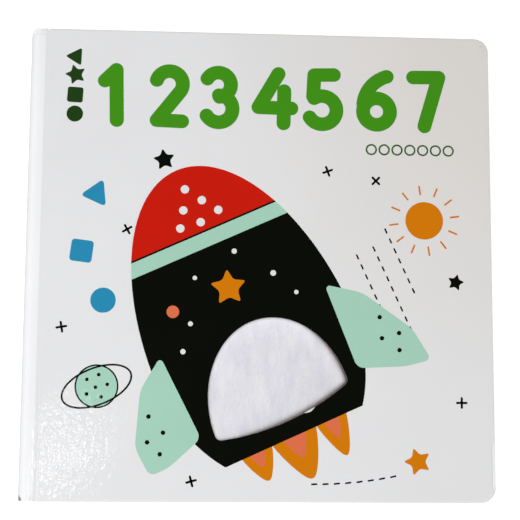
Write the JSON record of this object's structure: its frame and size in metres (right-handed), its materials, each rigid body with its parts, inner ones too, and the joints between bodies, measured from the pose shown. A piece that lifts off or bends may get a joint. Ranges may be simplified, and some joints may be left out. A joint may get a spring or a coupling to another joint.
{
  "type": "touch and feel book",
  "caption": "Closed children's board book with a soft plush patch showing through a window in its front cover.",
  "frame": {"origin": "middle of the footprint, on the surface that the closed book lies on", "axes": "+Z out of the front cover, +Y towards the head of the book, +X from the spine to the fore-edge"},
  "size_m": [0.21, 0.212, 0.0219],
  "materials": {
    "laminated_board": "glossy laminate",
    "lining_board": "satin",
    "leaf_board": "satin, with cut edges",
    "plush": "short pile",
    "ribbed_cloth": "wide-wale ribs",
    "felt": "felt"
  },
  "bodies": {
    "block": {"page_block": "leaf_board", "spine_wrap": "laminated_board", "first_page_patch": "ribbed_cloth", "last_page_patch": "felt"},
    "front_cover": {"front_board": "laminated_board", "front_lining": "lining_board", "plush_patch": "plush"},
    "back_cover": {"back_board": "laminated_board", "back_lining": "lining_board"}
  },
  "joints": [
    {"name": "front_cover_hinge", "type": "hinge", "parent": "block", "child": "front_cover", "pos_m": [-0.0972, 0, 0.021], "axis": [0, -1, 0], "range_deg": [0, 175]},
    {"name": "back_cover_hinge", "type": "hinge", "parent": "block", "child": "back_cover", "pos_m": [-0.0972, 0, 0], "axis": [0, 1, 0], "range_deg": [0, 175]}
  ]
}
